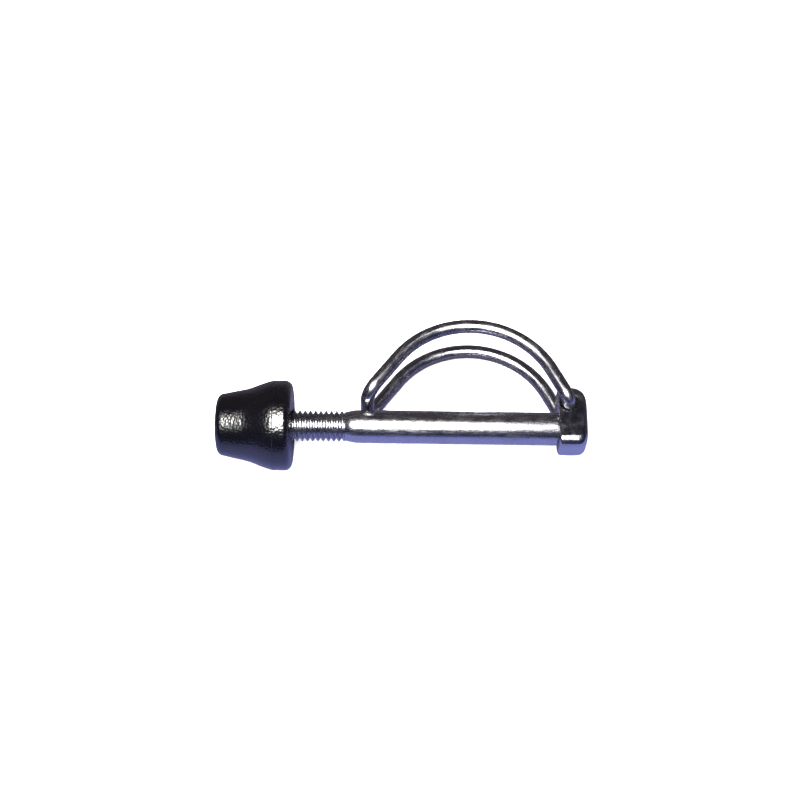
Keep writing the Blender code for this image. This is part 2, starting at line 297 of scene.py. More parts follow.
def add_ring(bm: bmesh.types.BMesh, x: float, radius: float, segments: int) -> list:
    """Add a circle of vertices about the pin's axis, or a pole where the radius is zero.

    Args:
        bm: The mesh that takes the vertices.
        x: The circle's place along the axis.
        radius: The circle's radius.
        segments: Number of vertices round it.

    Returns:
        The new vertices in order.
    """
    if radius <= 0.0:
        return [bm.verts.new((x, 0.0, 0.0))]
    turn = [math.tau * k / segments for k in range(segments)]
    return [bm.verts.new((x, radius * math.cos(a), radius * math.sin(a))) for a in turn]


def bridge(bm: bmesh.types.BMesh, first: list, second: list) -> None:
    """Join two rings of equal count with quads, or a ring and a pole with triangles.

    Args:
        bm: The mesh that takes the faces.
        first: The first ring's vertices, or its pole.
        second: The second ring's vertices, or its pole.
    """
    count = max(len(first), len(second))
    for k in range(count):
        after = (k + 1) % count
        corners = [first[k % len(first)], first[after % len(first)]]
        corners += [second[after % len(second)], second[k % len(second)]]
        bm.faces.new(list(dict.fromkeys(corners)))


def turn(bm: bmesh.types.BMesh, outline: Outline, segments: int, closed: bool = False) -> None:
    """Turn an outline of (x, radius) points round the pin's axis into a skin.

    Args:
        bm: The mesh that takes the skin.
        outline: The points, from end to end.
        segments: Facets round the axis.
        closed: Whether the last ring joins the first, as on a bush.
    """
    rings = [add_ring(bm, x, radius, segments) for x, radius in outline]
    for first, second in zip(rings, rings[1:]):
        bridge(bm, first, second)
    if closed:
        bridge(bm, rings[-1], rings[0])


def settle(bm: bmesh.types.BMesh, name: str, sharp_degrees: float = 40.0) -> bpy.types.Mesh:
    """Merge doubles, turn the faces outwards and make a smooth mesh with true sharp edges.

    Args:
        bm: The mesh being built, which is used up.
        name: The finished mesh's name.
        sharp_degrees: Edges that bend more than this stay sharp.

    Returns:
        The finished mesh.
    """
    bmesh.ops.remove_doubles(bm, verts=bm.verts, dist=MERGE_DISTANCE)
    bmesh.ops.recalc_face_normals(bm, faces=bm.faces)
    mesh = bpy.data.meshes.new(name)
    bm.to_mesh(mesh)
    bm.free()
    mesh.shade_smooth()
    mesh.set_sharp_from_angle(angle=math.radians(sharp_degrees))
    return mesh


def place(mesh: bpy.types.Mesh, name: str, material: bpy.types.Material) -> bpy.types.Object:
    """Put a finished mesh in the scene as a piece with one material.

    Args:
        mesh: The finished mesh.
        name: The piece's name.
        material: Its only material.

    Returns:
        The new piece, at the origin.
    """
    mesh.materials.clear()
    mesh.materials.append(material)
    piece = bpy.data.objects.new(name, mesh)
    bpy.context.scene.collection.objects.link(piece)
    return piece


def hand_over(piece: bpy.types.Object, body: str, node: str) -> None:
    """Let a piece ride on its body and stand for its CAD node.

    Args:
        piece: The finished piece.
        body: The moving body that carries it.
        node: The CAD node that it stands for.
    """
    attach(piece, body)
    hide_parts(node)
    LOG.info("%s: %d faces, rides on %s", piece.name, len(piece.data.polygons), body)


# --- Finishes ---


class Worked(Enum):
    """How a steel piece was shaped before plating, which leaves its marks under the plate."""

    BAR = "bar"
    FORGED = "forged"
    WIRE = "wire"


WIRE_SPACE = "wire_space"
FORGED_COARSER = 4.0
RUB_RANGE = (0.12, 0.40)
NOISE_RANGE = (0.3, 0.7)


@dataclass(frozen=True)
class BrightPlate:
    """Bright zinc plate with a clear blue passivation, on bar, forged steel or wire.

    The plate levels the steel but keeps a fine grain and the marks of how the piece was shaped,
    so a reflection is sharp with a speckled, slightly wandering edge. The marks and the grain are
    drawn coarser than the real ones, which would be too fine to show from where the camera stands.
    """

    name: str
    worked: Worked
    clean: str = "#B4B5BC"
    smoked: str = "#9C9A9E"
    roughness_low: float = 0.17
    roughness_high: float = 0.34
    wave_detail: float = 3.0
    mark_pitch_mm: float = 0.42
    mark_length_mm: float = 3.0
    mark_height_mm: float = 0.022
    grain_mm: float = 0.45
    grain_height_mm: float = 0.03
    wave_mm: float = 5.0
    wave_height_mm: float = 0.02

    def mark_scale(self) -> tuple[float, float, float]:
        """Work out the marks' scale along each axis.

        Returns:
            The scale in marks per millimetre. Bar and wire have long marks, forging has even ones.
        """
        fine, long = 1.0 / self.mark_pitch_mm, 1.0 / self.mark_length_mm
        if self.worked is Worked.FORGED:
            return (fine / FORGED_COARSER,) * 3
        return (long, fine, fine)

    def build(self) -> bpy.types.Material:
        """Make the material.

        Returns:
            The finished material.
        """
        material, tree, shader = start_material(self.name)
        if self.worked is Worked.WIRE:
            place_on = add_node(tree, "ShaderNodeAttribute", attribute_name=WIRE_SPACE).outputs["Vector"]
        else:
            place_on = add_node(tree, "ShaderNodeTexCoord").outputs["Object"]
        in_mm = in_millimetres(tree, place_on)
        cloud = noise(tree, in_mm, 1 / self.wave_mm, self.wave_detail)
        along = add_node(tree, "ShaderNodeMapping", {"Vector": in_mm, "Scale": self.mark_scale()})
        marks = noise(tree, along.outputs[0], 1.0)
        grain = noise(tree, in_mm, 1 / self.grain_mm)
        rub = add_node(tree, "ShaderNodeMath", {0: marks, 1: cloud}, operation="MULTIPLY").outputs[0]
        low, high = RUB_RANGE
        rough = spread(tree, rub, (low, self.roughness_low), (high, self.roughness_high))
        wave = emboss(tree, cloud, self.wave_height_mm)
        cut = emboss(tree, marks, self.mark_height_mm, wave)
        peel = emboss(tree, grain, self.grain_height_mm, cut)
        shader.inputs["Metallic"].default_value = 1.0
        dress(tree, blend(tree, cloud, self.clean, self.smoked), rough, peel)
        return material


@dataclass(frozen=True)
class GrainedPlastic:
    """Black polyamide, injection moulded in a tool etched with a leather grain.

    The grain is a field of small rounded pebbles, so a light shows as a patch of bright specks.
    The pebbles are drawn a little coarser than the real grain, so that each one shows.
    """

    name: str = "black_grained_polyamide"
    deep: str = "#030305"
    worn: str = "#070709"
    pebble_mm: float = 0.75
    pebble_height_mm: float = 0.075
    pebble_blend: float = 0.15
    pore_mm: float = 0.3
    pore_height_mm: float = 0.03
    handling_per_mm: float = 0.12
    handling_detail: float = 4.0
    roughness_low: float = 0.1
    roughness_high: float = 0.2
    gloss: float = 0.8

    def build(self) -> bpy.types.Material:
        """Make the material.

        Returns:
            The finished material.
        """
        material, tree, shader = start_material(self.name)
        in_mm = in_millimetres(tree, add_node(tree, "ShaderNodeTexCoord").outputs["Object"])
        pebbles = add_node(
            tree,
            "ShaderNodeTexVoronoi",
            {"Vector": in_mm, "Scale": 1 / self.pebble_mm, "Smoothness": self.pebble_blend},
            feature="SMOOTH_F1",
        )
        pores = noise(tree, in_mm, 1 / self.pore_mm)
        handling = noise(tree, in_mm, self.handling_per_mm, self.handling_detail)
        low, high = NOISE_RANGE
        rough = spread(tree, pores, (low, self.roughness_low), (high, self.roughness_high))
        bed = emboss(tree, pebbles.outputs[0], self.pebble_height_mm, invert=True)
        skin = emboss(tree, pores, self.pore_height_mm, bed)
        shader.inputs["Specular IOR Level"].default_value = self.gloss
        dress(tree, blend(tree, handling, self.deep, self.worn), rough, skin)
        return material


@dataclass(frozen=True)
class TurnedBrass:
    """Free-cutting brass as it comes off the lathe, with fine rings left by the tool."""

    name: str = "turned_brass"
    bright: str = "#D9B45F"
    dull: str = "#B08A3C"
    ring_mm: float = 0.14
    ring_height_mm: float = 0.006
    roughness_low: float = 0.22
    roughness_high: float = 0.40

    def build(self) -> bpy.types.Material:
        """Make the material.

        Returns:
            The finished material.
        """
        material, tree, shader = start_material(self.name)
        in_mm = in_millimetres(tree, add_node(tree, "ShaderNodeTexCoord").outputs["Object"])
        apart = add_node(tree, "ShaderNodeSeparateXYZ", {0: in_mm})
        from_axis = add_node(
            tree, "ShaderNodeCombineXYZ", {"Y": apart.outputs["Y"], "Z": apart.outputs["Z"]}
        )
        radius = add_node(
            tree, "ShaderNodeVectorMath", {0: from_axis.outputs[0]}, operation="LENGTH"
        )
        across = add_node(
            tree, "ShaderNodeCombineXYZ", {"X": apart.outputs["X"], "Y": radius.outputs["Value"]}
        )
        rings = noise(tree, across.outputs[0], 1 / self.ring_mm)
        rough = spread(tree, rings, (0.0, self.roughness_low), (1.0, self.roughness_high))
        shader.inputs["Metallic"].default_value = 1.0
        relief = emboss(tree, rings, self.ring_height_mm)
        dress(tree, blend(tree, rings, self.bright, self.dull), rough, relief)
        return material


# --- Pin ---


@dataclass
class Pin:
    """The turned pin: staked spigot, plain shank, coned neck and right-hand threaded stud."""

    shank_radius: float = field(default_factory=lambda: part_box("pin_shank")[1].y)
    stud_end_x: float = field(default_factory=lambda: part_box("pin_shank")[0].x)
    head_face_x: float = field(default_factory=lambda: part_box("pin_head")[0].x)
    grip_length: float = 61.0 * MM
    neck_length: float = 3.1 * MM
    neck_radius: float = 4.346 * MM
    major_radius: float = 4.7 * MM
    pitch: float = 25.4 * MM / 16
    depth_per_pitch: float = 0.6134
    spigot_radius: float = 3.28 * MM
    seat_gap: float = 0.02 * MM
    chamfer: float = 1.2 * MM
    run_out: float = 0.5 * MM
    dimple_radius: float = 1.1 * MM
    dimple_depth: float = 0.7 * MM
    dimple_round: float = 0.25 * MM
    staked_round: float = 0.35 * MM
    shoulder_round: float = 0.3 * MM
    neck_round: float = 1.1 * MM
    neck_steps: int = 10
    crest_share: float = 0.12
    segments: int = 128
    rows_per_pitch: int = 20

    @property
    def neck_wide_x(self) -> float:
        """Where the neck reaches the shank's full radius."""
        return self.head_face_x - self.grip_length

    @property
    def neck_narrow_x(self) -> float:
        """Where the thread ends and the neck starts."""
        return self.neck_wide_x - self.neck_length

    def thread_tree(self) -> bpy.types.NodeTree:
        """Build the tree that rolls a flat grid into a threaded skin.

        Each row of the grid follows the helix. Rows that run past an end are pressed onto it and
        merged, so the skin has clean round ends.

        Returns:
            The Geometry Nodes tree.
        """
        sizes = ("Start", "End", "Pitch", "Major", "Root", "Tip Radius", "Neck Radius")
        sizes += ("Run Out", "Rows Length")
        sockets = {name: "NodeSocketFloat" for name in sizes}
        sockets |= {"Rows": "NodeSocketInt", "Segments": "NodeSocketInt"}
        sockets["Material"] = "NodeSocketMaterial"
        tree, given = new_tree("thread_skin", sockets)
        out = given.outputs

        def calc(operation: str, *values: Any) -> Any:
            """Add one Math node.

            Args:
                operation: The node's operation.
                values: Its inputs, as numbers or sockets.

            Returns:
                The result's socket.
            """
            return add_node(
                tree, "ShaderNodeMath", dict(enumerate(values)), operation=operation
            ).outputs[0]

        columns = calc("ADD", out["Segments"], 1.0)
        grid = add_node(
            tree,
            "GeometryNodeMeshGrid",
            {"Size X": out["Rows Length"], "Size Y": 1.0, "Vertices X": out["Rows"], "Vertices Y": columns},
        )
        flat = add_node(
            tree, "ShaderNodeSeparateXYZ", {0: add_node(tree, "GeometryNodeInputPosition").outputs[0]}
        )
        run = calc("ADD", flat.outputs["X"], calc("MULTIPLY", out["Rows Length"], 0.5))
        turned = calc("ADD", flat.outputs["Y"], 0.5)
        lead = calc("MULTIPLY", calc("SUBTRACT", turned, 1.0), out["Pitch"])
        loose = calc("ADD", calc("ADD", run, lead), out["Start"])
        x = calc("MINIMUM", calc("MAXIMUM", loose, out["Start"]), out["End"])
        phase = calc("FRACT", calc("DIVIDE", run, out["Pitch"]))
        ridge = calc("MULTIPLY", calc("ABSOLUTE", calc("SUBTRACT", phase, 0.5)), 2.0)
        shape = add_node(
            tree,
            "ShaderNodeMapRange",
            {
                "Value": ridge,
                "From Min": self.crest_share,
                "From Max": 1.0 - self.crest_share,
                "To Min": out["Root"],
                "To Max": out["Major"],
            },
        )
        at_tip = calc("ADD", out["Tip Radius"], calc("SUBTRACT", x, out["Start"]))
        from_neck = calc("SUBTRACT", out["End"], x)
        fade = calc("DIVIDE", calc("SUBTRACT", out["Major"], out["Neck Radius"]), out["Run Out"])
        at_neck = calc("ADD", out["Neck Radius"], calc("MULTIPLY", from_neck, fade))
        low = calc("MINIMUM", calc("MINIMUM", shape.outputs[0], at_tip), at_neck)
        radius = calc("MAXIMUM", low, calc("SUBTRACT", out["Neck Radius"], from_neck))
        angle = calc("MULTIPLY", turned, math.tau)
        rolled = add_node(
            tree,
            "ShaderNodeCombineXYZ",
            {
                "X": x,
                "Y": calc("MULTIPLY", radius, calc("COSINE", angle)),
                "Z": calc("MULTIPLY", radius, calc("SINE", angle)),
            },
        )
        moved = add_node(
            tree,
            "GeometryNodeSetPosition",
            {"Geometry": grid.outputs["Mesh"], "Position": rolled.outputs[0]},
        )
        merged = add_node(
            tree,
            "GeometryNodeMergeByDistance",
            {"Geometry": moved.outputs[0], "Distance": MERGE_DISTANCE / 2},
        )
        close_tree(tree, merged.outputs[0], out["Material"])
        return tree

    def thread_mesh(self, material: bpy.types.Material) -> bpy.types.Mesh:
        """Grow the stud's threaded skin between its tip and the neck.

        Args:
            material: The stud's material.

        Returns:
            The skin, open at both ends.
        """
        length = self.neck_narrow_x - self.stud_end_x
        pitches = math.ceil(length / self.pitch) + 1
        values = {
            "Start": self.stud_end_x,
            "End": self.neck_narrow_x,
            "Pitch": self.pitch,
            "Major": self.major_radius,
            "Root": self.major_radius - self.depth_per_pitch * self.pitch,
            "Tip Radius": self.major_radius - self.chamfer,
            "Neck Radius": self.neck_radius,
            "Run Out": self.run_out,
            "Rows Length": pitches * self.pitch,
            "Rows": pitches * self.rows_per_pitch + 1,
            "Segments": self.segments,
            "Material": material,
        }
        return grow(bpy.data.meshes.new("thread_seed"), self.thread_tree(), values)

    def plain_outline(self) -> Outline:
        """Draw the neck, shank and spigot.

        Returns:
            The outline from the thread to the pole of the pin's end face.
        """
        shoulder_x = self.head_face_x - self.seat_gap
        outline = [(self.neck_narrow_x, self.neck_radius)]
        outline += [(self.neck_wide_x, self.shank_radius), (shoulder_x, self.shank_radius)]
        outline += [(shoulder_x, self.spigot_radius), (0.0, self.spigot_radius)]
        outline += [(0.0, self.dimple_radius), (-self.dimple_depth, 0.0)]
        for corner, size in ((5, self.dimple_round), (4, self.staked_round), (2, self.shoulder_round)):
            outline = soft_corner(outline, corner, size)
        return soft_corner(outline, 1, self.neck_round, self.neck_steps)

    def build(self, finish: BrightPlate) -> None:
        """Make the pin as one closed skin and hand it over.

        Args:
            finish: The plate on the bar.
        """
        material = finish.build()
        bm = bmesh.new()
        bm.from_mesh(self.thread_mesh(material))
        turn(bm, self.plain_outline(), self.segments)
        bmesh.ops.remove_doubles(bm, verts=bm.verts, dist=MERGE_DISTANCE)
        tip_edges = [edge for edge in bm.edges if edge.is_boundary]
        bmesh.ops.holes_fill(bm, edges=tip_edges, sides=0)
        piece = place(settle(bm, "pin"), "pin", material)
        hand_over(piece, "pin", "pin_shank")


# --- Head ---


@dataclass
class Head:
    """The forged block that is pressed and staked on the spigot and carries the bail."""

    low: Vector = field(default_factory=lambda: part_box("pin_head")[0])
    high: Vector = field(default_factory=lambda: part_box("pin_head")[1])
    section_corner: float = 3.0 * MM
    high_corner: float = 4.4 * MM
    low_corner: float = 3.0 * MM
    inner_corner: float = 1.2 * MM
    end_fillet: float = 1.4 * MM
    inner_fillet: float = 0.9 * MM
    bore_radius: float = 3.3 * MM
    pivot_radius: float = 2.4 * MM
    countersink: float = 0.7 * MM
    overrun: float = 1.0 * MM
    edge_break: float = 0.12 * MM
    edge_break_degrees: float = 35.0
    sharp_degrees: float = 50.0
    corner_steps: int = 12
    bore_segments: int = 96
    hole_segments: int = 72

    def draw_in(self, distance: float, radius: float) -> float:
        """Work out how far a side has drawn in beside a rounded edge.

        Args:
            distance: How far the place is from the edge.
            radius: The edge's rounding.

        Returns:
            The side's distance from where it would be without the rounding.
        """
        if distance >= radius:
            return 0.0
        return radius - math.sqrt(radius**2 - (radius - distance) ** 2)

    def stations(self) -> list[float]:
        """Choose the sections' places along the pin, close together inside each rounded edge.

        Returns:
            The places in order.
        """
        places = {self.low.x, self.high.x}
        rounded = (
            (self.high.x, -self.high_corner, 16),
            (self.high.x, -self.end_fillet, 8),
            (self.low.x, self.inner_corner, 8),
            (self.low.x, self.inner_fillet, 4),
        )
        for edge, size, steps in rounded:
            quarter = [math.pi / 2 * k / steps for k in range(1, steps + 1)]
            places |= {round(edge + size * (1 - math.cos(a)), 7) for a in quarter}
        return sorted(places)

    def section(self, x: float) -> Outline:
        """Draw the rounded rectangle that the block has at one place.

        Args:
            x: The place along the pin.

        Returns:
            The section's (y, z) points.
        """
        from_end, from_face = self.high.x - x, x - self.low.x
        face_round = self.draw_in(from_face, self.inner_fillet)
        y_high = self.high.y - self.draw_in(from_end, self.high_corner)
        y_high -= self.draw_in(from_face, self.inner_corner)
        y_low = self.low.y + self.draw_in(from_end, self.low_corner) + face_round
        half_z = self.high.z - self.draw_in(from_end, self.end_fillet) - face_round
        corner = self.section_corner
        centres = (
            (y_high - corner, half_z - corner),
            (y_low + corner, half_z - corner),
            (y_low + corner, corner - half_z),
            (y_high - corner, corner - half_z),
        )
        points = []
        for quarter, centre in enumerate(centres):
            points += arc(centre, corner, 90 * quarter, 90 * quarter + 90, self.corner_steps)
        return points

    def block(self) -> bpy.types.Mesh:
        """Loft the block through its sections.

        Returns:
            The closed block, not yet cut.
        """
        bm = bmesh.new()
        loops = [[bm.verts.new((x, y, z)) for y, z in self.section(x)] for x in self.stations()]
        for first, second in zip(loops, loops[1:]):
            bridge(bm, first, second)
        bm.faces.new(loops[0])
        bm.faces.new(loops[-1])
        return settle(bm, "head_block", self.sharp_degrees)

    def cutters(self, pivot: Vector) -> list[bpy.types.Mesh]:
        """Make what is cut away: the spigot's bore and the bail's countersunk cross-hole.

        Args:
            pivot: A point on the bail's axis.

        Returns:
            The two cutters' meshes.
        """
        bore = bmesh.new()
        far, near = self.low.x - self.overrun, self.high.x + self.overrun
        wall = self.bore_radius
        turn(bore, [(far, 0.0), (far, wall), (near, wall), (near, 0.0)], self.bore_segments)
        cross = bmesh.new()
        rim = self.high.z
        wide = self.pivot_radius + self.countersink + self.overrun
        outline = [(-rim - self.overrun, 0.0), (-rim - self.overrun, wide)]
        outline += [(self.countersink - rim, self.pivot_radius)]
        outline += [(rim - self.countersink, self.pivot_radius), (rim + self.overrun, wide)]
        outline += [(rim + self.overrun, 0.0)]
        turn(cross, outline, self.hole_segments)
        stood_up = Matrix.Rotation(-math.pi / 2, 4, "Y")
        bmesh.ops.transform(cross, matrix=Matrix.Translation(pivot) @ stood_up, verts=cross.verts)
        return [settle(bore, "bore_cutter"), settle(cross, "cross_cutter")]

    def build(self, finish: BrightPlate, pivot: Vector) -> None:
        """Cut the block, even out its shading and hand it over.

        Args:
            finish: The plate on the forged block.
            pivot: A point on the bail's axis.
        """
        material = finish.build()
        block = place(self.block(), "head", material)
        tools = [place(mesh, mesh.name, material) for mesh in self.cutters(pivot)]
        for tool in tools:
            cut = block.modifiers.new(tool.name, "BOOLEAN")
            cut.operation, cut.solver, cut.object = "DIFFERENCE", "EXACT", tool
        rim = block.modifiers.new("rim", "BEVEL")
        rim.width, rim.segments = self.edge_break, 2
        rim.limit_method, rim.angle_limit = "ANGLE", math.radians(self.edge_break_degrees)
        even = block.modifiers.new("even", "WEIGHTED_NORMAL")
        even.keep_sharp = True
        bpy.context.view_layer.update()
        evaluated = block.evaluated_get(bpy.context.evaluated_depsgraph_get())
        mesh = bpy.data.meshes.new_from_object(evaluated)
        for item in (block, *tools):
            bpy.data.objects.remove(item)
        piece = place(mesh, "head", material)
        hand_over(piece, "pin", "pin_head")


# --- Bail ---


@dataclass
class Bail:
    """One drawn wire bent into a loop; both its ends turn in the head's cross-hole."""

    pivot: Vector
    low: Vector = field(default_factory=lambda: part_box("wire_bail")[0])
    high: Vector = field(default_factory=lambda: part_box("wire_bail")[1])
    shank_radius: float = field(default_factory=lambda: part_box("pin_shank")[1].y)
    wire_radius: float = 2.1 * MM
    rest_gap: float = 0.3 * MM
    head_slant: float = math.radians(27.5)
    foot_slant: float = math.radians(36.5)
    leg_run: float = 11.1 * MM
    tail_bend: float = 3.0 * MM
    foot_bend: float = 4.4 * MM
    tail_gap: float = 1.0 * MM
    tail_steps: int = 16
    loop_steps: int = 72
    foot_steps: int = 18
    cap_edge_degrees: float = 50.0
    segments: int = 40

    def bend(
        self, before: Vector, corner: Vector, after: Vector, radius: float, steps: int
    ) -> list[Vector]:
        """Replace a corner between two straight runs with an arc.

        Args:
            before: A point on the first run.
            corner: Where the runs would meet.
            after: A point on the second run.
            radius: The bend's radius on the wire's centre line.
            steps: Number of chords.

        Returns:
            The arc's points in order.
        """
        into, out = (before - corner).normalized(), (after - corner).normalized()
        half = into.angle(out) / 2
        centre = corner + (into + out).normalized() * (radius / math.sin(half))
        side = (corner + into * (radius / math.tan(half)) - centre).normalized()
        sweep = [(math.pi - 2 * half) * k / steps for k in range(steps + 1)]
        return [centre + radius * (side * math.cos(a) - into * math.sin(a)) for a in sweep]

    def path(self) -> list[Vector]:
        """Work out the wire's centre line.

        Returns:
            Its points, from one tail round the loop to the other.
        """
        leg_z = self.high.z - self.wire_radius
        foot_x = self.low.x + self.wire_radius
        foot_y = self.shank_radius + self.rest_gap + self.wire_radius
        head_slope, foot_slope = math.tan(self.head_slant), math.tan(self.foot_slant)
        reach = self.pivot.x - foot_x + (foot_y - self.pivot.y) * foot_slope
        rise = reach / (head_slope + foot_slope)
        leg = rise / math.cos(self.head_slant) - self.leg_run
        loop_radius = leg * math.tan((self.head_slant + self.foot_slant) / 2)
        tail = Vector((self.pivot.x, self.pivot.y, self.tail_gap / 2))
        elbow = Vector((self.pivot.x, self.pivot.y, leg_z))
        crown = Vector((self.pivot.x - rise * head_slope, self.pivot.y + rise, leg_z))
        foot = Vector((foot_x, foot_y, leg_z))
        middle = Vector((foot_x, foot_y, 0.0))
        half = [tail, *self.bend(tail, elbow, crown, self.tail_bend, self.tail_steps)]
        half += self.bend(elbow, crown, foot, loop_radius, self.loop_steps)
        half += self.bend(crown, foot, middle, self.foot_bend, self.foot_steps)
        return half + [Vector((p.x, p.y, -p.z)) for p in reversed(half)]

    def wire_tree(self) -> bpy.types.NodeTree:
        """Build the tree that runs a round section along the path.

        It also keeps, for each point, its place on the wire as if the wire were straight, so that
        the drawing marks follow the bends.

        Returns:
            The Geometry Nodes tree.
        """
        sockets = {
            "Wire Radius": "NodeSocketFloat",
            "Segments": "NodeSocketInt",
            "Material": "NodeSocketMaterial",
        }
        tree, given = new_tree("drawn_wire", sockets)
        out = given.outputs
        run = add_node(tree, "GeometryNodeSplineParameter")
        measured = add_node(tree, "GeometryNodeCaptureAttribute")
        measured.capture_items.new("FLOAT", "Run")
        tree.links.new(out["Geometry"], measured.inputs["Geometry"])
        tree.links.new(run.outputs["Length"], measured.inputs["Run"])
        circle = add_node(
            tree,
            "GeometryNodeCurvePrimitiveCircle",
            {"Radius": out["Wire Radius"], "Resolution": out["Segments"]},
        )
        section = add_node(tree, "GeometryNodeCaptureAttribute")
        section.capture_items.new("VECTOR", "Across")
        tree.links.new(circle.outputs[0], section.inputs["Geometry"])
        tree.links.new(
            add_node(tree, "GeometryNodeInputPosition").outputs[0], section.inputs["Across"]
        )
        swept = add_node(
            tree,
            "GeometryNodeCurveToMesh",
            {
                "Curve": measured.outputs["Geometry"],
                "Profile Curve": section.outputs["Geometry"],
                "Fill Caps": True,
            },
        )
        across = add_node(tree, "ShaderNodeSeparateXYZ", {0: section.outputs["Across"]})
        straight = add_node(
            tree,
            "ShaderNodeCombineXYZ",
            {"X": measured.outputs["Run"], "Y": across.outputs["X"], "Z": across.outputs["Y"]},
        )
        stored = add_node(
            tree,
            "GeometryNodeStoreNamedAttribute",
            {"Geometry": swept.outputs[0], "Name": WIRE_SPACE},
            data_type="FLOAT_VECTOR",
            domain="POINT",
        )
        tree.links.new(straight.outputs[0], stored.inputs["Value"])
        close_tree(tree, stored.outputs[0], out["Material"])
        return tree

    def build(self, finish: BrightPlate) -> None:
        """Sweep the wire along its path and hand it over.

        Args:
            finish: The plate on the wire.
        """
        material = finish.build()
        points = self.path()
        route = bpy.data.curves.new("bail_route", "CURVE")
        route.dimensions = "3D"
        spline = route.splines.new("POLY")
        spline.points.add(len(points) - 1)
        for spot, point in zip(spline.points, points):
            spot.co = (*point, 1.0)
        values = {"Wire Radius": self.wire_radius, "Segments": self.segments, "Material": material}
        mesh = grow(route, self.wire_tree(), values)
        mesh.set_sharp_from_angle(angle=math.radians(self.cap_edge_degrees))
        piece = place(mesh, "bail", material)
        hand_over(piece, "bail", "wire_bail")


# --- Knob ---


